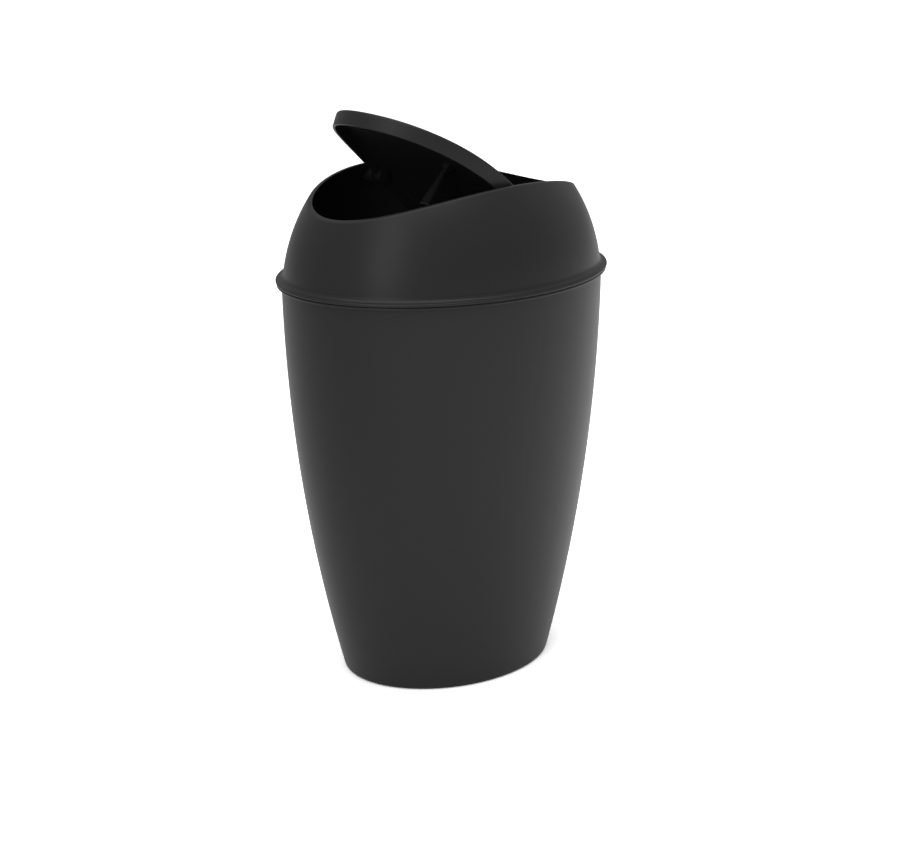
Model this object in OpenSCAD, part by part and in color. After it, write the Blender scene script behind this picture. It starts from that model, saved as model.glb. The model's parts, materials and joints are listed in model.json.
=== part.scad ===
// Countertop bin: an oval tub, a lift-off domed cover and a lid that swings on two pins
// X runs along the oval, Y across it, Z up; the origin is at the middle of the foot

/* [Tub] */
// Length of the oval at the top of the tub wall
tub_len = 193; // [160:1:240]
// Length of the oval at the foot
foot_len = 128; // [100:1:150]
// Width of every outer oval as a share of its length
oval_ratio = 0.8; // [0.7:0.01:0.9]
// Height of the underside of the cover rim above the ground
tub_h = 225; // [180:1:270]
// Angle at which the tub wall still leans outward under the cover rim
wall_draft = 0.6; // [0:0.1:2]
// Thickness of the tub wall
tub_wall = 2; // [1.6:0.1:3]
// Thickness of the tub floor
floor_t = 2.4; // [1.8:0.1:4]
// Radius of the outer edge round the foot
foot_round = 2.5; // [1:0.1:4]
// Depth of the recess under the floor
recess_depth = 1.2; // [0.5:0.1:2]
// Width of the ring that the tub stands on
stand_w = 6; // [4:0.5:12]

/* [Rims] */
// How far the cover rim stands out from the tub wall
rim_out = 3.5; // [2.5:0.1:6]
// Thickness of the rim on the tub and of the rim on the cover
rim_t = 1.7; // [1.2:0.1:2.5]
// How far the tub rim stays inside the cover rim
rim_setback = 0.5; // [0:0.1:1]
// Gap between the top of the tub and the underside of the cover rim
seat_gap = 0.1; // [0.05:0.05:0.3]
// Radius of the hollow curve from the cover rim into the dome
flare_r = 3.5; // [2:0.1:4.5]
// Depth of the ring of the cover that plugs into the tub
plug_depth = 8; // [5:0.5:15]
// Thickness of that ring
plug_t = 1.6; // [1.2:0.1:3]
// Gap between that ring and the tub wall, at the top of the tub
plug_gap = 0.45; // [0.35:0.05:0.8]

/* [Cover] */
// Thickness of the dome
dome_wall = 2; // [1.6:0.1:3]
// Radius of the dome's curve, seen from the side
dome_r = 93.6; // [88:0.2:130]
// How far the dome's curve has its centre below the underside of the cover rim
dome_drop = 9.3; // [5:0.1:20]
// How far the dome foot is set in from the tub wall
dome_setin = 0.7; // [0.3:0.1:2]
// Height of the mouth above the underside of the cover rim, at the two pivot sides
mouth_rise = 54.3; // [45:0.1:58]
// Radius of the curve that cuts the mouth, seen from the side
mouth_curve = 230; // [180:1:400]

/* [Swing lid] */
// Gap all round between the lid and the mouth
lid_gap = 2; // [1.6:0.1:4]
// How far the closed lid edge lies below the mouth edge
lid_sink = 1.6; // [0.5:0.1:4]
// Thickness of the lid plate
lid_plate = 2; // [1.5:0.1:3]
// Thickness of the lid skirt
skirt_t = 1.8; // [1.5:0.1:3]
// Height of the lid skirt
skirt_h = 8.1; // [6:0.1:12]
// Lean of the skirt, sideways per unit of height
skirt_lean = 0.3; // [0.1:0.01:0.35]
// Height of the lid's crown over its edge at the pivot sides
lid_crown = 7; // [3:0.5:9]
// Tilt at which the lid is shown, raising the end towards minus X
lid_tilt = 43; // [0:1:60]

/* [Pivots] */
// How far the pivot axis lies below the closed lid edge
pivot_drop = 6; // [5:0.1:7]
// Radius of the pivot pins
pin_r = 2.5; // [2:0.1:3]
// Running gap round a pin in its bearing
pin_gap = 0.05; // [0.03:0.01:0.1]
// Gap between the end of a pin and the bottom of its bearing
pin_end_gap = 0.4; // [0.2:0.1:1]
// Length of a pin beyond the lid skirt
pin_len = 6.6; // [6:0.1:7]
// Radius of the ear that carries a pin on the lid
ear_r = 4; // [3.6:0.1:4.2]
// Thickness of that ear
ear_t = 4; // [3:0.1:6]
// Radius of the bearing boss inside the cover
boss_r = 5; // [4.5:0.1:5.5]
// Gap between the lid and the face of a bearing boss
boss_gap = 1.2; // [0.8:0.1:2]

/* [Counterweight] */
// Length of the arm from the lid plate to its lower end
arm_len = 27; // [15:0.5:35]
// Width of the arm's lower end along X
arm_w = 9; // [6:0.5:16]
// Width of the arm's lower end along Y
arm_d = 7; // [5:0.5:16]
// Width of the arm's neck along X
neck_w = 3.6; // [3:0.1:6]
// Width of the arm's neck along Y
neck_d = 2.8; // [2.4:0.1:5]
// How far the straight side of the arm lies from the lid centre, towards minus X
arm_side = 6; // [3:0.5:12]
// Depth of the neck in its socket
neck_in = 3; // [2:0.5:5]
// Wall of the socket
socket_t = 1.4; // [1:0.1:2.5]
// Gap between neck and socket
socket_gap = 0.1; // [0.05:0.05:0.3]

/* [Hidden] */
$fn = 144;
over = 1;
// A thousandth of a millimetre, by which tangent curves overlap so that they join
hair = 0.001;
far_off = 400;
end_steps = 24;
plastic = [0.2, 0.2, 0.21];
wall_r = tub_len / 2;
foot_r = foot_len / 2;
tub_top = tub_h - seat_gap;
rim_r = wall_r + rim_out;
// The wall is an arc from the foot to the cover rim, where its lean is the draft
wall_chord = sqrt(pow(tub_h, 2) + pow(wall_r - foot_r, 2));
arc_r = wall_chord / (2 * sin(atan((wall_r - foot_r) / tub_h) - wall_draft));
arc_x = wall_r - arc_r * cos(wall_draft);
arc_z = tub_h + arc_r * sin(wall_draft);
tub_bore = wall_r - tub_wall;
floor_z = recess_depth + floor_t;
// The dome is an arc that starts just inside the tub wall
dome_z = tub_h - dome_drop;
dome_x = wall_r - dome_setin - sqrt(pow(dome_r, 2) - pow(dome_drop + rim_t, 2));
plug_r = tub_bore - plug_gap;
// The mouth is cut by a cylinder along Y
mouth_z = tub_h + mouth_rise;
mouth_axis_z = mouth_z - mouth_curve;
dome_h = mouth_rise - rim_t + over;
in_r = dome_r - dome_wall;
// Closed lid: its edge follows the mouth
edge_z = mouth_z - lid_sink;
edge_curve = mouth_curve - lid_sink;
pivot_z = edge_z - pivot_drop;

// Half-length of the dome's inner oval at height z
function bore_at(z) = dome_x + sqrt(pow(in_r, 2) - pow(z - dome_z, 2));
// Half-length of the dome's outer oval at height z
function dome_at(z) = dome_x + sqrt(pow(dome_r, 2) - pow(z - dome_z, 2));
// Half-width of the dome's inner oval at height z
function bore_y(z) = oval_ratio * dome_at(z) - dome_wall;
// Height of the mouth edge at distance x from the middle
function mouth_at(x) = mouth_axis_z + sqrt(pow(mouth_curve, 2) - x * x);
// Half-length of the mouth, found by stepping between its two curves
function mouth_end(x, n) = n == 0 ? x : mouth_end((x + bore_at(mouth_at(x))) / 2, n - 1);
// Ratio of an oval that lies a wall's thickness inside an outer one
function inner_ratio(r, wall) = (oval_ratio * r - wall) / (r - wall);

mouth_x = mouth_end(wall_r, end_steps);
mouth_y = bore_y(mouth_z);
lid_x = mouth_x - lid_gap;
lid_y = mouth_y - lid_gap;
end_z = mouth_axis_z + sqrt(pow(edge_curve, 2) - lid_x * lid_x);
// The skirt leans, so the lid is a slice of an oval cone; this is its half-length at the pivots
side_x = lid_x + skirt_lean * (edge_z - end_z);
lid_ratio = lid_y / side_x;
// The plate is a barrel about an axis along Y, fitted to the crown and both edges
crown_z = edge_z + lid_crown;
end_fall = crown_z - end_z;
crown_r = (pow(lid_x, 2) + pow(end_fall, 2)) / (2 * end_fall);
crown_axis_z = crown_z - crown_r;
barrel_r = (pow(lid_y, 2) + pow(lid_crown, 2)) / (2 * lid_crown);
skirt_bottom = edge_curve - skirt_h;
skirt_y = lid_y - skirt_lean * lid_ratio * pivot_drop;
boss_face = lid_y + boss_gap;
pin_end = skirt_y + pin_len;
plate_z = crown_z - lid_plate;
arm_z = plate_z - arm_len;

// Turns a profile into an oval solid, in two halves
module oval(ratio) {
    for (turn = [0, 180])
        scale([1, ratio, 1]) rotate([0, 0, turn]) rotate_extrude(angle = 180) children();
}

// A round bar along Y between two places
module bar_y(r, y0, y1, z) {
    translate([0, y1, z]) rotate([90, 0, 0]) cylinder(r = r, h = y1 - y0);
}

// Repeats what lies on the plus Y side on the minus Y side
module both_sides() {
    children();
    mirror([0, 1, 0]) children();
}

// The area under the wall's arc, moved in by a wall's thickness
module wall_area(inset, z0, z1) {
    intersection() {
        translate([0, z0]) square([wall_r, z1 - z0]);
        translate([arc_x, arc_z]) circle(r = arc_r - inset);
    }
}

// A flat rim with a full round edge
module rim_area(r, z) {
    translate([0, z]) square([r - rim_t / 2, rim_t]);
    translate([r - rim_t / 2, z + rim_t / 2]) circle(d = rim_t);
}

// Half of the tub's outline, with the rounded foot tangent to wall and floor
module tub_area() {
    round_x = arc_x + sqrt(pow(arc_r - foot_round, 2) - pow(arc_z - foot_round, 2)) + hair;
    touch_z = arc_z - (arc_z - foot_round) * arc_r / (arc_r - foot_round);
    wall_area(0, touch_z, tub_top - rim_t / 2);
    square([round_x, foot_round]);
    translate([round_x, foot_round]) circle(r = foot_round);
    rim_area(rim_r - rim_setback, tub_top - rim_t);
}

module tub() {
    color(plastic)
    difference() {
        oval(oval_ratio) tub_area();
        oval(inner_ratio(wall_r, tub_wall)) wall_area(tub_wall, floor_z, tub_h + over);
        oval(inner_ratio(foot_r, stand_w)) translate([0, -over])
            square([foot_r - stand_w, recess_depth + over]);
    }
}

// Half of the cover's outline: rim, hollow curve and dome
module cover_area() {
    curve_x = dome_x + sqrt(pow(dome_r + flare_r, 2) - pow(dome_drop + rim_t + flare_r, 2));
    curve_z = tub_h + rim_t + flare_r;
    touch_z = dome_z + (curve_z - dome_z) * dome_r / (dome_r + flare_r);
    rim_area(rim_r, tub_h);
    difference() {
        translate([0, tub_h]) square([curve_x, touch_z - tub_h]);
        translate([curve_x, curve_z]) circle(r = flare_r);
    }
    intersection() {
        translate([0, tub_h + rim_t]) square([wall_r, dome_h]);
        translate([dome_x, dome_z]) circle(r = dome_r);
    }
}

// The inside of the dome above the plug ring
module dome_bore_area() {
    intersection() {
        translate([0, tub_h + rim_t]) square([wall_r, dome_h + over]);
        translate([dome_x, dome_z]) circle(r = in_r);
    }
}

module bearing_bosses() {
    intersection() {
        both_sides() bar_y(boss_r, boss_face, far_off, pivot_z);
        oval(oval_ratio) cover_area();
    }
}

module cover() {
    plug_ratio = inner_ratio(wall_r, tub_wall + plug_gap);
    bore_ratio = inner_ratio(wall_r, tub_wall + plug_gap + plug_t);
    color(plastic)
    difference() {
        union() {
            difference() {
                union() {
                    intersection() {
                        oval(oval_ratio) cover_area();
                        bar_y(mouth_curve, -far_off, far_off, mouth_axis_z);
                    }
                    oval(plug_ratio) translate([0, tub_h - plug_depth]) square([plug_r, plug_depth + over]);
                }
                oval(inner_ratio(wall_r, dome_wall)) dome_bore_area();
                oval(bore_ratio) translate([0, tub_h - plug_depth - over])
                    square([plug_r - plug_t, plug_depth + rim_t + 2 * over]);
            }
            bearing_bosses();
        }
        bar_y(pin_r + pin_gap, -pin_end - pin_end_gap, pin_end + pin_end_gap, pivot_z);
    }
}

// The oval cone that gives the lid its outline, made smaller by a wall's thickness
module lid_cone(inset) {
    low = end_z - 2 * skirt_h;
    high = crown_z + over;
    low_r = side_x - inset - skirt_lean * (edge_z - low);
    high_r = side_x - inset + skirt_lean * (high - edge_z);
    oval((lid_y - inset) / (side_x - inset)) polygon([[0, low], [low_r, low], [high_r, high], [0, high]]);
}

// The barrel that gives the plate its crown, made smaller by a wall's thickness
module lid_barrel(inset) {
    translate([0, 0, crown_axis_z]) rotate([90, 0, 0]) rotate_extrude()
        intersection() {
            translate([0, -lid_y - over]) square([crown_r, 2 * (lid_y + over)]);
            translate([crown_r - barrel_r, 0]) circle(r = barrel_r - inset);
        }
}

module lid_shell() {
    difference() {
        intersection() {
            lid_cone(0);
            lid_barrel(0);
        }
        intersection() {
            lid_cone(skirt_t);
            lid_barrel(lid_plate);
        }
        bar_y(skirt_bottom, -far_off, far_off, mouth_axis_z);
    }
}

// The collar under the plate that holds the neck of the counterweight
module neck_socket() {
    depth = neck_in + lid_plate / 2;
    w = neck_w + 2 * (socket_gap + socket_t);
    d = neck_d + 2 * (socket_gap + socket_t);
    translate([neck_w / 2 - arm_side - w / 2, -d / 2, plate_z - neck_in]) cube([w, d, depth]);
}

module closed_lid() {
    difference() {
        union() {
            lid_shell();
            neck_socket();
            both_sides() bar_y(ear_r, skirt_y - ear_t, skirt_y, pivot_z);
            both_sides() bar_y(pin_r, skirt_y - over, pin_end, pivot_z);
        }
        translate([-arm_side - socket_gap, -neck_d / 2 - socket_gap, plate_z - neck_in - over])
            cube([neck_w + 2 * socket_gap, neck_d + 2 * socket_gap, neck_in + over]);
    }
}

// Turns what belongs to the lid about the pivot axis to the tilt it is shown at
module at_tilt() {
    translate([0, 0, pivot_z]) rotate([0, lid_tilt, 0]) translate([0, 0, -pivot_z]) children();
}

module swing_lid() {
    color(plastic) at_tilt() closed_lid();
}

// A wedge that is straight on its minus X side and widens towards its lower end
module counterweight() {
    shoulder = plate_z - neck_in;
    color(plastic) at_tilt() {
        translate([-arm_side, -neck_d / 2, shoulder]) cube([neck_w, neck_d, neck_in - socket_gap]);
        intersection() {
            translate([0, arm_d / 2, 0]) rotate([90, 0, 0]) linear_extrude(arm_d)
                polygon([[-arm_side, arm_z], [arm_w - arm_side, arm_z],
                    [neck_w - arm_side, shoulder], [-arm_side, shoulder]]);
            translate([-arm_side, 0, 0]) rotate([90, 0, 90]) linear_extrude(arm_w)
                polygon([[-arm_d / 2, arm_z], [arm_d / 2, arm_z],
                    [neck_d / 2, shoulder], [-neck_d / 2, shoulder]]);
        }
    }
}

tub();
cover();
swing_lid();
counterweight();
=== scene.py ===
import json
import math

import bpy
import numpy as np
from mathutils import Matrix, Vector


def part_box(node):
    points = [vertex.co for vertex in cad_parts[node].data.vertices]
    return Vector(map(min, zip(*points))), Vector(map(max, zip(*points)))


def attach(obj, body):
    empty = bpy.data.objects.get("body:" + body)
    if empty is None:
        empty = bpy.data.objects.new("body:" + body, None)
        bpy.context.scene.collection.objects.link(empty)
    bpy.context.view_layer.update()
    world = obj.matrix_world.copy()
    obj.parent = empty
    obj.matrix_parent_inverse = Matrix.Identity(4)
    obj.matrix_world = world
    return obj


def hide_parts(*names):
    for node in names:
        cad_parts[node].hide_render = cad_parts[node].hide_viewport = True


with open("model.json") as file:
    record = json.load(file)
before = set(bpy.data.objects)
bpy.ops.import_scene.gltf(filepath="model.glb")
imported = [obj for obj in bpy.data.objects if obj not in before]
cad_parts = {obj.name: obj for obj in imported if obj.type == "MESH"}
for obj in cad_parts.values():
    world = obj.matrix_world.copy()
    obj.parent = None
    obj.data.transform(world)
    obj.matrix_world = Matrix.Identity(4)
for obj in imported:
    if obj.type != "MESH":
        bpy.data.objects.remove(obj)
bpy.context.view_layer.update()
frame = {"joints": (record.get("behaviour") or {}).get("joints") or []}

# Looks of an oval countertop bin: a tapering tub, a lift-off domed cover and a crowned lid that
# swings on side pivots. Metres; X along the oval, Y across it, Z up.

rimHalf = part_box("cover")[1].x
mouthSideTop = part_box("cover")[1].z
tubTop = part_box("tub")[1].z
lidJoint = next(joint for joint in frame["joints"] if joint["child"] == "lid")
pivotHeight = lidJoint["pos_m"][2]
print("frame loaded, cover rim half-length", round(rimHalf, 4), "pivot height", pivotHeight)

# Shared by the tub and the cover
oval = {
    "ratio": 0.8,             # width of every outer oval over its length
    "rimOut": 0.0035,         # how far the cover rim stands out from the tub wall
    "rimThick": 0.0017,
    "seatGap": 0.0001,        # between the tub's top and the cover rim
}
seatHeight = tubTop + oval["seatGap"]
wallHalf = rimHalf - oval["rimOut"]

# How fine the meshes are
fineness = {
    "turns": 320,             # columns round the bin
    "pivotTurns": 64,         # columns round a bearing or a pin
    "tip": 0.0004,            # size of the small rings that close a surface in its middle
    "solveSteps": 40,         # rounds in which two surfaces are brought to meet
}
turnAngles = np.linspace(0, 2 * np.pi, fineness["turns"], endpoint=False)


# Surface helpers: every surface is a stack of rings, each ring one row of points

def ringAt(half, ratio, height):
    # x is the half-length times the turn's cosine, y the ratio times the half-length times its sine
    parts = np.broadcast_arrays(half * np.cos(turnAngles), ratio * half * np.sin(turnAngles), height)
    return np.stack(parts, axis=-1)


def wheelRing(radius, away):
    # Circle about the pivot axis: x is the radius times the cosine, the height above the axis the
    # radius times the sine, and y the distance along the axis
    around = np.linspace(0, 2 * np.pi, fineness["pivotTurns"], endpoint=False)
    parts = np.broadcast_arrays(radius * np.cos(around), away, pivotHeight + radius * np.sin(around))
    return np.stack(parts, axis=-1)


def boxRing(sizeX, sizeY, corner, middleX, height, steps=10):
    # Rectangle with round corners: each quarter turn about its own corner centre
    quarter = np.linspace(0, np.pi / 2, steps)
    angles = np.concatenate([quarter + k * np.pi / 2 for k in range(4)])
    signX = np.repeat([1, -1, -1, 1], steps)
    signY = np.repeat([1, 1, -1, -1], steps)
    x = middleX + signX * (sizeX / 2 - corner) + corner * np.cos(angles)
    y = signY * (sizeY / 2 - corner) + corner * np.sin(angles)
    return np.stack(np.broadcast_arrays(x, y, height), axis=-1)


def tipRing(middleX, height):
    # Small ring that closes a stack of rectangles
    tip = fineness["tip"]
    return boxRing(tip, tip, tip / 4, middleX, height)


def stretchRings(start, end, steps):
    # Straight blend from one ring to the other, without its end ring
    share = np.linspace(0, 1, steps, endpoint=False)[:, None, None]
    return (1 - share) * start + share * end


def softCorner(before, corner, after, reach, steps=7):
    # Quadratic curve that leaves the corner's two sides at the given reach from it:
    # (1-u)^2 of the first point, 2u(1-u) of the corner and u^2 of the last
    def sidePoint(other):
        side = other - corner
        return corner + side * (reach / np.linalg.norm(side, axis=-1, keepdims=True))
    first, last = sidePoint(before), sidePoint(after)
    u = np.linspace(0, 1, steps)[:, None, None]
    return (1 - u) ** 2 * first + 2 * u * (1 - u) * corner + u ** 2 * last


def signedVolume(points, quads):
    # Sum over the two triangles of each quad of a.(b x c) / 6
    a, b, c, d = (points[quads[:, k]] for k in range(4))
    first = np.einsum("ij,ij->i", a, np.cross(b, c))
    second = np.einsum("ij,ij->i", a, np.cross(c, d))
    return (first + second).sum() / 6


def skinMesh(name, rows, loop=False):
    # Quads between neighbouring rings, whose columns wrap round. A loop joins the last ring to the
    # first; otherwise each end closes with a fan on the middle of its ring.
    count, turns = rows.shape[:2]
    points = rows.reshape(-1, 3)
    index = np.arange(count * turns).reshape(count, turns)
    if loop:
        index = np.vstack([index, index[:1]])
    here, there = index[:-1], index[1:]
    quads = np.stack([here, np.roll(here, -1, 1), np.roll(there, -1, 1), there], -1).reshape(-1, 4)
    faces = [quads]
    if not loop:
        first, last = len(points), len(points) + 1
        points = np.vstack([points, rows[0].mean(0), rows[-1].mean(0)])
        start, end = index[0], index[-1]
        faces.append(np.stack([np.full(turns, first), np.roll(start, -1), start], -1))
        faces.append(np.stack([np.full(turns, last), end, np.roll(end, -1)], -1))
    if signedVolume(points, quads) < 0:
        faces = [part[:, ::-1] for part in faces]
    mesh = bpy.data.meshes.new(name)
    mesh.from_pydata(points.tolist(), [], [face for part in faces for face in part.tolist()])
    mesh.validate()
    mesh.shade_smooth()
    return mesh


def pieceFrom(mesh):
    piece = bpy.data.objects.new(mesh.name, mesh)
    bpy.context.scene.collection.objects.link(piece)
    return piece


def fuse(piece, others):
    # One closed skin from pieces that run into each other
    for other in others:
        join = piece.modifiers.new("fuse", "BOOLEAN")
        join.operation = "UNION"
        join.solver = "EXACT"
        join.object = other
    ready = piece.evaluated_get(bpy.context.evaluated_depsgraph_get())
    fused = bpy.data.meshes.new_from_object(ready)
    piece.modifiers.clear()
    piece.data = fused
    fused.name = piece.name
    for other in others:
        bpy.data.objects.remove(other)


def softShade(piece, sharpDegrees=38):
    piece.data.shade_smooth()
    piece.data.set_sharp_from_angle(angle=math.radians(sharpDegrees))


def innerRatio(half, inset):
    # Width over length of the oval that lies the inset inside one of that half-length
    return (oval["ratio"] * half - inset) / (half - inset)


def rimEdge(outer, low, steps=14):
    # Half circle round a rim's edge, from its underside to its top
    bulge = oval["rimThick"] / 2
    around = np.linspace(-np.pi / 2, np.pi / 2, steps)[:, None]
    half = outer - bulge + bulge * np.cos(around)
    return ringAt(half, oval["ratio"], low + bulge + bulge * np.sin(around))


# Tub: a bowed wall between the foot and the top, a rim and a foot ring round a recess
tub = {
    "footHalf": 0.064,
    "draft": 0.6,             # degrees that the wall still leans outward under the cover rim
    "wall": 0.002,
    "floor": 0.0024,
    "footRound": 0.0025,
    "recess": 0.0012,
    "standWidth": 0.006,
    "rimSetback": 0.0005,     # how far the tub rim stays inside the cover rim
    "rimRoot": 0.0004,        # hollow corner under the rim
    "insideRound": 0.005,     # hollow corner round the floor inside
    "edge": 0.0003,           # rounding of the small edges
    "lip": 0.002,             # depth below the top at which the inside rings start
    "middle": 0.002,          # half-size of the rings in the middle of the floor and the recess
    "recessRings": 8,
    "footRings": 14,
    "wallRings": 72,
    "insideRings": 60,
    "floorRings": 10,
}
spread = wallHalf - tub["footHalf"]
draft = math.radians(tub["draft"])
# The wall's arc: its radius is the chord over twice the sine of the chord's lean less the draft
bowRadius = math.hypot(seatHeight, spread) / (2 * math.sin(math.atan2(spread, seatHeight) - draft))
bowCentreX = wallHalf - bowRadius * math.cos(draft)
bowCentreZ = seatHeight + bowRadius * math.sin(draft)


def bowAt(height, inset=0.0):
    # Half-length of the wall's oval at a height: an arc about the bow centre
    return bowCentreX + np.sqrt((bowRadius - inset) ** 2 - (bowCentreZ - height) ** 2)


def makeTub():
    # Rings from the middle of the recess, over the stand ring and the round foot, up the bowed
    # wall, round the rim, and down inside to the middle of the floor
    ratio, wall = oval["ratio"], tub["wall"]
    wallRatio = innerRatio(wallHalf, wall)
    standHalf = tub["footHalf"] - tub["standWidth"]
    standRatio = innerRatio(tub["footHalf"], tub["standWidth"])
    # The foot's round edge touches the ground and the bowed wall
    footRound = tub["footRound"]
    roundHalf = bowAt(footRound, footRound)
    touchSlope = math.atan2(bowCentreZ - footRound, roundHalf - bowCentreX)
    around = np.linspace(-np.pi / 2, -touchSlope, tub["footRings"])[:, None]
    footRows = ringAt(roundHalf + footRound * np.cos(around), ratio, footRound + footRound * np.sin(around))
    recessMiddle = ringAt(tub["middle"], 1.0, tub["recess"])
    recessCorner = ringAt(standHalf, standRatio, tub["recess"])
    standInner = ringAt(standHalf, standRatio, 0.0)
    rimLow = tubTop - oval["rimThick"]
    touchHeight = footRound - footRound * math.sin(touchSlope)
    heights = np.linspace(touchHeight, rimLow, tub["wallRings"])[1:-1, None]
    wallRows = ringAt(bowAt(heights), ratio, heights)
    rimRoot = ringAt(bowAt(rimLow), ratio, rimLow)
    edge = rimEdge(rimHalf - tub["rimSetback"], rimLow)
    topInner = ringAt(bowAt(tubTop, wall), wallRatio, tubTop)
    floorTop = tub["recess"] + tub["floor"]
    insideEnds = tubTop - tub["lip"], floorTop + tub["insideRound"]
    insideHeights = np.linspace(*insideEnds, tub["insideRings"])[:, None]
    insideRows = ringAt(bowAt(insideHeights, wall), wallRatio, insideHeights)
    floorHalf = bowAt(floorTop, wall)
    floorCorner = ringAt(floorHalf, wallRatio, floorTop)
    floorStart = ringAt(floorHalf - tub["insideRound"], wallRatio, floorTop)
    floorMiddle = ringAt(tub["middle"], 1.0, floorTop)
    rows = np.concatenate([
        stretchRings(recessMiddle, recessCorner, tub["recessRings"])[:-1],
        softCorner(recessMiddle, recessCorner, standInner, tub["edge"]),
        softCorner(recessCorner, standInner, footRows[0], tub["edge"]),
        footRows,
        wallRows,
        softCorner(wallRows[-1], rimRoot, edge[0], tub["rimRoot"]),
        edge,
        softCorner(edge[-1], topInner, insideRows[0], tub["edge"]),
        insideRows,
        softCorner(insideRows[-1], floorCorner, floorMiddle, tub["insideRound"])[1:],
        stretchRings(floorStart, floorMiddle, tub["floorRings"])[1:],
        floorMiddle[None],
    ])
    piece = pieceFrom(skinMesh("tubShell", rows))
    softShade(piece)
    return piece


# Cover: rim, hollow curve, dome with a saddle-shaped mouth, plug ring and two bearings
cover = {
    "domeRadius": 0.0936,
    "domeDrop": 0.0093,       # centre of the dome's arc below the cover rim
    "domeSetIn": 0.0007,      # how far the dome's foot stands inside the tub wall
    "wall": 0.002,
    "flare": 0.0035,          # radius of the hollow curve above the rim
    "mouthCurve": 0.230,      # radius of the cylinder that cuts the mouth
    "mouthSoft": 0.00095,     # rounding of the mouth edge
    "plugGap": 0.00045,       # between the plug ring and the tub wall
    "plugThick": 0.0016,
    "plugDepth": 0.008,
    "plugSoft": 0.0006,       # rounding of the plug ring's lower edges
    "bossRadius": 0.005,
    "bossFace": 0.05442,      # from the middle of the bin along the pivot axis
    "boreRadius": 0.00255,
    "boreEnd": 0.05905,       # from the middle too
    "edge": 0.0003,           # rounding of the small edges
    "flareRings": 12,
    "domeRings": 64,
    "mouthRings": 9,
}
rimTop = seatHeight + oval["rimThick"]
domeCentreZ = seatHeight - cover["domeDrop"]
domeReach = math.sqrt(cover["domeRadius"] ** 2 - (rimTop - domeCentreZ) ** 2)
domeCentreX = wallHalf - cover["domeSetIn"] - domeReach
mouthAxisZ = mouthSideTop - cover["mouthCurve"]


def domeHalfAt(height, inset=0.0):
    # Half-length of the dome's oval at a height: an arc about the dome centre
    return domeCentreX + np.sqrt((cover["domeRadius"] - inset) ** 2 - (height - domeCentreZ) ** 2)


def mouthHeightOn(inset):
    # Where the dome meets the mouth cylinder at each turn, found by putting one into the other
    height = np.full(fineness["turns"], mouthSideTop)
    for step in range(fineness["solveSteps"]):
        reach = domeHalfAt(height, inset) * np.cos(turnAngles)
        height = mouthAxisZ + np.sqrt(cover["mouthCurve"] ** 2 - reach ** 2)
    return height


def domeRows(inset, ratio, lowSlope):
    # Rings from a low slope angle of the dome's arc up to the mouth, evenly spread over the arc
    radius = cover["domeRadius"] - inset
    top = np.arcsin((mouthHeightOn(inset) - domeCentreZ) / radius)
    slope = lowSlope + (top - lowSlope) * np.linspace(0, 1, cover["domeRings"])[:, None]
    return ringAt(domeCentreX + radius * np.cos(slope), ratio, domeCentreZ + radius * np.sin(slope))


def makeBearing(side):
    # A boss turned about the pivot axis: blind bore, face with soft edges, and a root inside the wall
    bore, boss, soft = cover["boreRadius"], cover["bossRadius"], cover["edge"]
    faceAway, endAway = side * cover["bossFace"], side * cover["boreEnd"]

    def rootAt(radius):
        # The middle of the dome wall beside each point of a wheel
        ring = wheelRing(radius, 0.0)
        half = domeHalfAt(ring[:, 2], cover["wall"] / 2)
        ring[:, 1] = side * innerRatio(wallHalf, cover["wall"] / 2) * np.sqrt(half ** 2 - ring[:, 0] ** 2)
        return ring

    boreEnd = wheelRing(bore, endAway)
    boreMouth = wheelRing(bore, faceAway)
    faceEdge = wheelRing(boss, faceAway)
    rows = np.concatenate([
        wheelRing(fineness["tip"], endAway)[None],
        boreEnd[None],
        softCorner(boreEnd, boreMouth, faceEdge, soft),
        softCorner(boreMouth, faceEdge, rootAt(boss), soft),
        rootAt(boss)[None],
        rootAt(boss / 2)[None],
        rootAt(fineness["tip"])[None],
    ])
    return pieceFrom(skinMesh("bearingLeft" if side < 0 else "bearingRight", rows))


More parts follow.
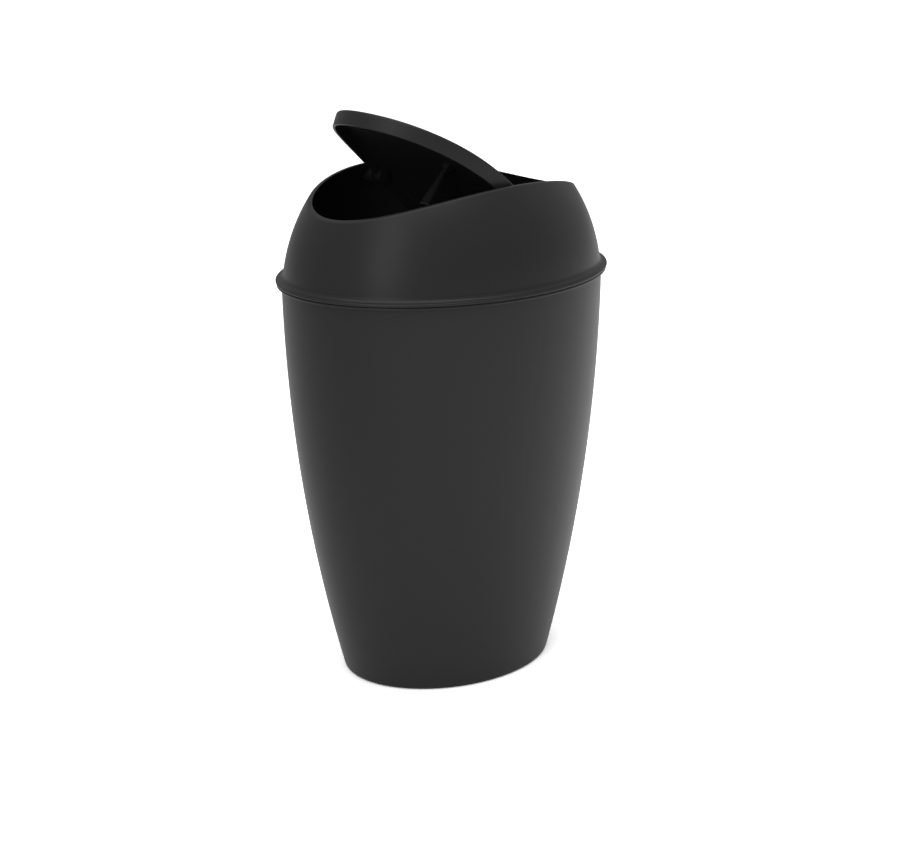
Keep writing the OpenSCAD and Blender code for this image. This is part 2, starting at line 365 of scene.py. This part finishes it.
def makeCover():
    # One closed loop of rings: rim edge, hollow curve, dome, mouth edge, the dome's inside, the ledge
    # above the plug ring, and the plug ring
    ratio, wall, soft = oval["ratio"], cover["wall"], cover["edge"]
    # The hollow curve touches the rim's top and the dome
    flare = cover["flare"]
    flareZ = rimTop + flare
    flareX = domeHalfAt(flareZ, -flare)
    touchSlope = math.atan2(flareZ - domeCentreZ, flareX - domeCentreX)
    around = np.linspace(-np.pi / 2, touchSlope - np.pi, cover["flareRings"])[:, None]
    flareRows = ringAt(flareX + flare * np.cos(around), ratio, flareZ + flare * np.sin(around))
    innerLow = math.asin((rimTop - domeCentreZ) / (cover["domeRadius"] - wall))
    outer = domeRows(0.0, ratio, touchSlope)
    inner = domeRows(wall, innerRatio(wallHalf, wall), innerLow)[::-1]
    plugInset = tub["wall"] + cover["plugGap"]
    boreInset = plugInset + cover["plugThick"]
    plugHalf, plugRatio = wallHalf - plugInset, innerRatio(wallHalf, plugInset)
    boreHalf, boreRatio = wallHalf - boreInset, innerRatio(wallHalf, boreInset)
    plugLow = seatHeight - cover["plugDepth"]
    ledge = ringAt(boreHalf, boreRatio, rimTop)
    plugIn = ringAt(boreHalf, boreRatio, plugLow)
    plugOut = ringAt(plugHalf, plugRatio, plugLow)
    plugRoot = ringAt(plugHalf, plugRatio, seatHeight)
    rows = np.concatenate([
        rimEdge(rimHalf, seatHeight),
        flareRows,
        outer[1:-1],
        softCorner(outer[-2], outer[-1], inner[0], cover["mouthSoft"], cover["mouthRings"]),
        softCorner(outer[-1], inner[0], inner[1], cover["mouthSoft"], cover["mouthRings"]),
        inner[2:-1],
        softCorner(inner[-2], inner[-1], ledge, soft),
        softCorner(inner[-1], ledge, plugIn, soft),
        softCorner(ledge, plugIn, plugOut, cover["plugSoft"]),
        softCorner(plugIn, plugOut, plugRoot, cover["plugSoft"]),
        plugRoot[None],
    ])
    piece = pieceFrom(skinMesh("coverShell", rows, loop=True))
    fuse(piece, [makeBearing(-1), makeBearing(1)])
    softShade(piece)
    return piece


# Swing lid: a crowned plate with a leaning skirt, ears and pins, and a collar for the counterweight
lid = {
    "gap": 0.002,             # all round between the lid and the mouth
    "sink": 0.0016,           # lid edge below the mouth edge when closed
    "plate": 0.002,
    "skirtThick": 0.0018,
    "skirtHeight": 0.0081,
    "skirtLean": 0.3,         # sideways per unit of height
    "crown": 0.007,           # plate's middle above its edge at the pivots
    "tilt": 43,               # degrees, raising the end towards -X
    "edgeSoft": 0.0013,       # rounding of the plate's edge
    "hemSoft": 0.0005,        # rounding of the skirt's lower edges
    "insideSoft": 0.0016,     # hollow corner between plate and skirt
    "earRadius": 0.004,
    "earThick": 0.004,
    "pinRadius": 0.0025,
    "pinLength": 0.0066,
    "middleShare": 0.02,      # of the outline, for the smallest ring in the middle of the plate
    "plateRings": 44,
    "edgeRings": 9,
}
edgeSideZ = mouthSideTop - lid["sink"]
edgeCurve = cover["mouthCurve"] - lid["sink"]
hemCurve = edgeCurve - lid["skirtHeight"]
lidHalf = float(domeHalfAt(mouthHeightOn(cover["wall"])[0], cover["wall"])) - lid["gap"]
lidSide = oval["ratio"] * float(domeHalfAt(mouthSideTop)) - cover["wall"] - lid["gap"]
edgeEndZ = mouthAxisZ + math.sqrt(edgeCurve ** 2 - lidHalf ** 2)
lidHalfAtSideZ = lidHalf + lid["skirtLean"] * (edgeSideZ - edgeEndZ)
crownZ = edgeSideZ + lid["crown"]
endFall = crownZ - edgeEndZ
# An arc's radius is its half chord squared plus its rise squared, over twice the rise
crownRadius = (lidHalf ** 2 + endFall ** 2) / (2 * endFall)
crownAxisZ = crownZ - crownRadius
barrelRadius = (lidSide ** 2 + lid["crown"] ** 2) / (2 * lid["crown"])


def barrelTop(x, y, inset=0.0):
    # The plate is an arc over Y swept about a level axis along Y
    reach = crownRadius - barrelRadius + np.sqrt((barrelRadius - inset) ** 2 - y ** 2)
    return crownAxisZ + np.sqrt(reach ** 2 - x ** 2)


def hemAt(x, y):
    # The skirt's lower edge lies on a cylinder along Y, as the mouth does
    return mouthAxisZ + np.sqrt(hemCurve ** 2 - x ** 2)


def coneRing(height, inset=0.0):
    # The lid's outline widens upwards as a slice of an oval cone
    half = lidHalfAtSideZ - inset + lid["skirtLean"] * (height - edgeSideZ)
    return ringAt(half, (lidSide - inset) / (lidHalfAtSideZ - inset), height)


def coneMeets(surface, inset=0.0):
    # The ring where the cone meets a surface over x and y, found by putting one into the other
    height = np.full(fineness["turns"], edgeSideZ)
    for step in range(fineness["solveSteps"]):
        ring = coneRing(height, inset)
        height = surface(ring[:, 0], ring[:, 1])
    return coneRing(height, inset)


def plateRows(edgeRing, inset=0.0):
    # The plate's own surface over shrunken copies of its outline, from the middle out
    shares = np.linspace(lid["middleShare"], 1, lid["plateRings"])[:, None]
    x, y = edgeRing[:, 0] * shares, edgeRing[:, 1] * shares
    return np.stack([x, y, barrelTop(x, y, inset)], axis=-1)


def atTilt(rows):
    # Turns points about the pivot axis, which lies along Y, to the tilt that the lid rests at
    turn = math.radians(lid["tilt"])
    x, z = rows[..., 0], rows[..., 2] - pivotHeight
    turnedX = x * math.cos(turn) + z * math.sin(turn)
    turnedZ = pivotHeight - x * math.sin(turn) + z * math.cos(turn)
    return np.stack([turnedX, rows[..., 1], turnedZ], axis=-1)


def makePin(side):
    # Ear and pin turned about the pivot axis, from inside the skirt outwards
    soft = lid["hemSoft"]
    skirtSide = lidSide - lid["skirtLean"] * (edgeSideZ - pivotHeight) * lidSide / lidHalfAtSideZ
    innerAway = side * (skirtSide - lid["earThick"])
    outerAway = side * (skirtSide + lid["pinLength"])
    middleIn = wheelRing(fineness["tip"], innerAway)
    earIn = wheelRing(lid["earRadius"], innerAway)
    earOut = wheelRing(lid["earRadius"], side * skirtSide)
    pinRoot = wheelRing(lid["pinRadius"], side * skirtSide)
    pinTip = wheelRing(lid["pinRadius"], outerAway)
    middleOut = wheelRing(fineness["tip"], outerAway)
    rows = np.concatenate([
        middleIn[None],
        softCorner(middleIn, earIn, earOut, soft),
        softCorner(earIn, earOut, pinRoot, soft),
        softCorner(earOut, pinRoot, pinTip, soft),
        softCorner(pinRoot, pinTip, middleOut, soft),
        middleOut[None],
    ])
    return pieceFrom(skinMesh("pinLeft" if side < 0 else "pinRight", atTilt(rows)))


# Counterweight: a wedge with a narrow neck that plugs into a collar under the lid
weight = {
    "length": 0.027,
    "endX": 0.009,
    "endY": 0.007,
    "neckX": 0.0036,
    "neckY": 0.0028,
    "side": 0.006,            # the straight side's distance from the lid's middle, towards -X
    "neckIn": 0.003,
    "neckSoft": 0.0003,
    "corner": 0.0012,
    "endSoft": 0.0009,
    "sideRings": 16,
    "collarGap": 0.0001,
    "collarWall": 0.0014,
    "collarCorner": 0.0015,
    "collarEdge": 0.00025,
}
plateUnder = crownZ - lid["plate"]
neckMiddle = weight["neckX"] / 2 - weight["side"]


def makeCollar():
    # Rounded rectangles from inside the plate down the outside, over the edge and up the socket
    gap, wall = weight["collarGap"], weight["collarWall"]
    inX, inY = weight["neckX"] + 2 * gap, weight["neckY"] + 2 * gap
    outX, outY = inX + 2 * wall, inY + 2 * wall
    buried = plateUnder + lid["plate"] / 2
    low = plateUnder - weight["neckIn"]
    outTop = boxRing(outX, outY, weight["collarCorner"], neckMiddle, buried)
    outLow = boxRing(outX, outY, weight["collarCorner"], neckMiddle, low)
    inLow = boxRing(inX, inY, lid["hemSoft"], neckMiddle, low)
    inTop = boxRing(inX, inY, lid["hemSoft"], neckMiddle, plateUnder)
    rows = np.concatenate([
        tipRing(neckMiddle, buried)[None],
        outTop[None],
        softCorner(outTop, outLow, inLow, lid["hemSoft"]),
        softCorner(outLow, inLow, inTop, weight["collarEdge"]),
        inTop[None],
        tipRing(neckMiddle, plateUnder)[None],
    ])
    return pieceFrom(skinMesh("collar", atTilt(rows)))


def makeLid():
    # Rings from the plate's middle over its edge, down the skirt, round the hem and back underneath
    outerEdge = coneMeets(barrelTop)
    outerHem = coneMeets(hemAt)
    innerHem = coneMeets(hemAt, lid["skirtThick"])
    innerEdge = coneMeets(lambda x, y: barrelTop(x, y, lid["plate"]), lid["skirtThick"])
    top = plateRows(outerEdge)
    under = plateRows(innerEdge, lid["plate"])[::-1]
    rows = np.concatenate([
        top[:-2],
        softCorner(top[-2], outerEdge, outerHem, lid["edgeSoft"], lid["edgeRings"]),
        softCorner(outerEdge, outerHem, innerHem, lid["hemSoft"]),
        softCorner(outerHem, innerHem, innerEdge, lid["hemSoft"]),
        softCorner(innerHem, innerEdge, under[1], lid["insideSoft"]),
        under[2:],
    ])
    piece = pieceFrom(skinMesh("lidShell", atTilt(rows)))
    fuse(piece, [makePin(-1), makePin(1), makeCollar()])
    softShade(piece)
    return piece


def makeWeight():
    # Rounded rectangles from the neck down, straight on the -X side and widening on the others
    neckTop = plateUnder - weight["collarGap"]
    shoulder = plateUnder - weight["neckIn"]
    foot = plateUnder - weight["length"]

    def section(share, height):
        sizeX = weight["neckX"] + (weight["endX"] - weight["neckX"]) * share
        sizeY = weight["neckY"] + (weight["endY"] - weight["neckY"]) * share
        return boxRing(sizeX, sizeY, weight["corner"], sizeX / 2 - weight["side"], height)

    neckTip = tipRing(neckMiddle, neckTop)
    neckLow = section(0, shoulder)
    footMiddle = tipRing(weight["endX"] / 2 - weight["side"], foot)
    shares = np.linspace(0, 1, weight["sideRings"])[1:-1]
    sides = np.stack([section(share, shoulder + (foot - shoulder) * share) for share in shares])
    rows = np.concatenate([
        neckTip[None],
        softCorner(neckTip, section(0, neckTop), neckLow, weight["neckSoft"]),
        neckLow[None],
        sides,
        softCorner(sides[-1], section(1, foot), footMiddle, weight["endSoft"]),
        footMiddle[None],
    ])
    piece = pieceFrom(skinMesh("counterweightArm", atTilt(rows)))
    softShade(piece)
    return piece


# Materials: satin moulded plastic with a fine spark-eroded grain
satin = {
    "base": (0.0195, 0.0195, 0.0203, 1),
    "gloss": 0.25,
    "roughness": 0.37,
    "spread": 0.08,           # how far the noises move the roughness
    "clouding": 0.1,          # how far the slow noise lightens and darkens the colour
    "grain": 0.0005,          # size in metres
    "bump": 0.05,
}
plastics = {
    "tubPlastic": satin,
    "coverPlastic": satin,
    "lidPlastic": {**satin, "roughness": 0.42},
    "weightPlastic": {
        **satin,
        "gloss": 0.35,
        "roughness": 0.24,
        "spread": 0.06,
        "grain": 0.0008,
        "bump": 0.03,
    },
}
moulding = {
    "ior": 1.49,
    "grainDetail": 3.0,
    "grainRoughness": 0.6,
    "cloudScale": 14.0,       # clouds per metre
    "cloudDetail": 4.0,
    "bumpDistance": 0.0002,
}


def feed(tree, socket, value):
    # Sets a socket to a number, or links it to another node's output
    if isinstance(value, (int, float)):
        socket.default_value = value
    else:
        tree.links.new(value, socket)


def addMath(tree, operation, *values):
    # One Math node over numbers or other nodes' outputs
    node = tree.nodes.new("ShaderNodeMath")
    node.operation = operation
    for socket, value in zip(node.inputs, values):
        feed(tree, socket, value)
    return node.outputs[0]


def addRange(tree, value, low, high, start=0.0, end=1.0):
    # Carries a value from start..end over to low..high
    node = tree.nodes.new("ShaderNodeMapRange")
    places = {"Value": value, "From Min": start, "From Max": end, "To Min": low, "To Max": high}
    for name, place in places.items():
        feed(tree, node.inputs[name], place)
    return node.outputs["Result"]


def makeGrainGroup():
    # Two noises in object space: the fine one is the height, the slow one clouds the colour, and
    # both vary the roughness
    group = bpy.data.node_groups.new("mouldedGrain", "ShaderNodeTree")
    for name in ("Grain Size", "Clouding", "Roughness", "Roughness Spread"):
        group.interface.new_socket(name, in_out="INPUT", socket_type="NodeSocketFloat")
    group.interface.new_socket("Base", in_out="INPUT", socket_type="NodeSocketColor")
    group.interface.new_socket("Color", in_out="OUTPUT", socket_type="NodeSocketColor")
    for name in ("Roughness", "Height"):
        group.interface.new_socket(name, in_out="OUTPUT", socket_type="NodeSocketFloat")
    given = group.nodes.new("NodeGroupInput").outputs
    result = group.nodes.new("NodeGroupOutput").inputs
    place = group.nodes.new("ShaderNodeTexCoord")

    def addNoise(scale, detail, roughness=0.5):
        noise = group.nodes.new("ShaderNodeTexNoise")
        group.links.new(place.outputs["Object"], noise.inputs["Vector"])
        for name, value in (("Scale", scale), ("Detail", detail), ("Roughness", roughness)):
            feed(group, noise.inputs[name], value)
        return noise.outputs["Fac"]

    perMetre = addMath(group, "DIVIDE", 1.0, given["Grain Size"])
    grain = addNoise(perMetre, moulding["grainDetail"], moulding["grainRoughness"])
    cloud = addNoise(moulding["cloudScale"], moulding["cloudDetail"])
    grainShift = addMath(group, "SUBTRACT", grain, 0.5)
    cloudShift = addMath(group, "SUBTRACT", cloud, 0.5)
    # Colour: the base times one plus the clouding's share of the slow noise
    lift = addMath(group, "MULTIPLY_ADD", cloudShift, given["Clouding"], 1.0)
    tint = group.nodes.new("ShaderNodeVectorMath")
    tint.operation = "SCALE"
    group.links.new(given["Base"], tint.inputs[0])
    group.links.new(lift, tint.inputs["Scale"])
    # Roughness: its middle value plus a share of both noises
    both = addMath(group, "ADD", cloudShift, grainShift)
    rough = addMath(group, "MULTIPLY_ADD", both, given["Roughness Spread"], given["Roughness"])
    group.links.new(tint.outputs[0], result["Color"])
    group.links.new(rough, result["Roughness"])
    group.links.new(grain, result["Height"])
    return group


grainGroup = makeGrainGroup()


def makePlastic(name):
    values = plastics[name]
    material = bpy.data.materials.new(name)
    material.use_nodes = True
    nodes, links = material.node_tree.nodes, material.node_tree.links
    shader = nodes["Principled BSDF"]
    shader.inputs["IOR"].default_value = moulding["ior"]
    shader.inputs["Specular IOR Level"].default_value = values["gloss"]
    skin = nodes.new("ShaderNodeGroup")
    skin.node_tree = grainGroup
    skin.inputs["Base"].default_value = values["base"]
    skin.inputs["Clouding"].default_value = values["clouding"]
    skin.inputs["Grain Size"].default_value = values["grain"]
    skin.inputs["Roughness"].default_value = values["roughness"]
    skin.inputs["Roughness Spread"].default_value = values["spread"]
    bump = nodes.new("ShaderNodeBump")
    bump.inputs["Distance"].default_value = moulding["bumpDistance"]
    bump.inputs["Strength"].default_value = values["bump"]
    links.new(skin.outputs["Color"], shader.inputs["Base Color"])
    links.new(skin.outputs["Roughness"], shader.inputs["Roughness"])
    links.new(skin.outputs["Height"], bump.inputs["Height"])
    links.new(bump.outputs["Normal"], shader.inputs["Normal"])
    return material


# Pieces, each riding on its body and standing for its own node
pieces = (
    # maker, body, node, material, finish in the record
    (makeTub, "tub", "tub", "tubPlastic", "tub_plastic"),
    (makeCover, "cover", "cover", "coverPlastic", "cover_plastic"),
    (makeLid, "lid", "swing_lid", "lidPlastic", "lid_plastic"),
    (makeWeight, "lid", "counterweight", "weightPlastic", "weight_plastic"),
)
for make, body, node, materialName, slotName in pieces:
    piece = make()
    piece.data.materials.clear()
    piece.data.materials.append(makePlastic(materialName))
    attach(piece, body)
    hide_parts(node)
    print(piece.name, "done,", len(piece.data.polygons), "faces")

# Camera: the photograph's viewing angle, found from the ovals of the foot, the rim and the mouth
view = {
    "azimuth": -43.33,        # degrees; 0 looks along +Y
    "elevation": 16.39,
    "distance": 1.1818,
    "aimX": 0.00279,          # how far right of the object's axis the camera aims
    "aimZ": 0.1387,
    "lens": 84.0,             # millimetres, like the sensor's width
    "sensor": 36.0,
    "roll": 0.40,             # turns the picture anticlockwise
}


def awayTowards(azimuth, elevation):
    # Unit vector from the object to a place round it and above it, both in degrees
    turn, rise = math.radians(azimuth), math.radians(elevation)
    return Vector((math.sin(turn) * math.cos(rise), -math.cos(turn) * math.cos(rise), math.sin(rise)))


def acrossPicture():
    # Level unit vector along the picture's width
    turn = math.radians(view["azimuth"])
    return Vector((math.cos(turn), math.sin(turn), 0))


def makeCamera():
    back = awayTowards(view["azimuth"], view["elevation"])
    right = acrossPicture()
    up = back.cross(right)
    roll = math.radians(view["roll"])
    rolledRight = right * math.cos(roll) - up * math.sin(roll)
    rolledUp = up * math.cos(roll) + right * math.sin(roll)
    aim = right * view["aimX"] + Vector((0, 0, view["aimZ"]))
    camera = bpy.data.objects.new("camera", bpy.data.cameras.new("camera"))
    camera.data.lens = view["lens"]
    camera.data.sensor_width = view["sensor"]
    axes = Matrix((rolledRight, rolledUp, back)).transposed().to_4x4()
    camera.matrix_world = Matrix.Translation(aim + back * view["distance"]) @ axes
    bpy.context.scene.collection.objects.link(camera)
    bpy.context.scene.camera = camera


makeCamera()
print("camera set")

# Light: soft boxes placed round the camera's own direction, on a pale floor
studio = {
    "aimZ": 0.14,             # the height that the boxes point at
    "worldFill": 0.60,        # what the room gives to matt surfaces
    "worldShine": 0.34,       # what shiny surfaces see of the room
    # Painted light: the floor's colour that shiny surfaces see is painted darker left of the object and
    # lighter right of it
    "paintedShineLeft": 0.76,        # what shiny surfaces see of the floor, left of the object
    "paintedShineRight": 1.25,       # and right of it
    "paintedShineReach": 0.40,       # metres to each side over which that changes
    "floorSeen": 2.0,         # the floor as the camera sees it, past white
    "floorHalf": 6.0,
}
softBoxes = (
    # name, degrees round from the camera, degrees up, distance, width, height, watts
    ("keyBox", -20, 27, 1.9, 0.7, 1.7, 6.5),
    ("rightBox", 125, 25, 1.6, 1.4, 1.2, 0.8),
    ("topBox", 0, 85, 1.7, 1.6, 1.6, 14),
)


def makeSoftBox(name, around, rise, distance, width, height, watts):
    away = awayTowards(view["azimuth"] + around, rise)
    lamp = bpy.data.lights.new(name, "AREA")
    lamp.shape = "RECTANGLE"
    lamp.size = width
    lamp.size_y = height
    lamp.energy = watts
    box = bpy.data.objects.new(name, lamp)
    place = Matrix.Translation(Vector((0, 0, studio["aimZ"])) + away * distance)
    box.matrix_world = place @ away.to_track_quat("Z", "Y").to_matrix().to_4x4()
    bpy.context.scene.collection.objects.link(box)


def makeWorld():
    # White behind the object, a grey room for everything that it lights
    world = bpy.data.worlds.new("studio")
    bpy.context.scene.world = world
    world.use_nodes = True
    tree = world.node_tree
    backdrop = tree.nodes["Background"]
    backdrop.inputs["Color"].default_value = (1, 1, 1, 1)
    path = tree.nodes.new("ShaderNodeLightPath").outputs
    shiny = addMath(tree, "MAXIMUM", path["Is Glossy Ray"], path["Is Transmission Ray"])
    room = addRange(tree, shiny, studio["worldFill"], studio["worldShine"])
    seen = addRange(tree, path["Is Camera Ray"], room, 1.0)
    tree.links.new(seen, backdrop.inputs["Strength"])


def makeFloor():
    # A pale plane that the camera sees past white, so that only the contact shadow shows on it.
    # What lights matt surfaces from below is the room itself, which it lets through.
    half = studio["floorHalf"]
    mesh = bpy.data.meshes.new("floor")
    corners = [(-half, -half, 0), (half, -half, 0), (half, half, 0), (-half, half, 0)]
    mesh.from_pydata(corners, [], [(0, 1, 2, 3)])
    floor = pieceFrom(mesh)
    material = bpy.data.materials.new("paleFloor")
    material.use_nodes = True
    tree = material.node_tree
    nodes, links = tree.nodes, tree.links
    nodes.remove(nodes["Principled BSDF"])
    path = nodes.new("ShaderNodeLightPath").outputs
    # Painted light: the floor's colour is painted darker towards the left, where the light falls off, along
    # the picture's width
    across = nodes.new("ShaderNodeVectorMath")
    across.operation = "DOT_PRODUCT"
    across.inputs[1].default_value = acrossPicture()
    links.new(nodes.new("ShaderNodeTexCoord").outputs["Object"], across.inputs[0])
    low, high, reach = studio["paintedShineLeft"], studio["paintedShineRight"], studio["paintedShineReach"]
    paintedFalloff = addRange(tree, across.outputs["Value"], low, high, -reach, reach)
    shade = addRange(tree, path["Is Camera Ray"], paintedFalloff, studio["floorSeen"])
    matt = nodes.new("ShaderNodeBsdfDiffuse")
    links.new(shade, matt.inputs["Color"])
    # Seen from below, the floor lets the foot show
    clear = nodes.new("ShaderNodeBsdfTransparent")
    backfacing = nodes.new("ShaderNodeNewGeometry").outputs["Backfacing"]
    letsThrough = addMath(tree, "MAXIMUM", backfacing, path["Is Diffuse Ray"])
    sides = nodes.new("ShaderNodeMixShader")
    links.new(letsThrough, sides.inputs[0])
    links.new(matt.outputs[0], sides.inputs[1])
    links.new(clear.outputs[0], sides.inputs[2])
    links.new(sides.outputs[0], nodes["Material Output"].inputs["Surface"])
    mesh.materials.append(material)


for values in softBoxes:
    makeSoftBox(*values)
makeWorld()
makeFloor()
bpy.context.scene.view_settings.view_transform = "Standard"
print("light and floor set")
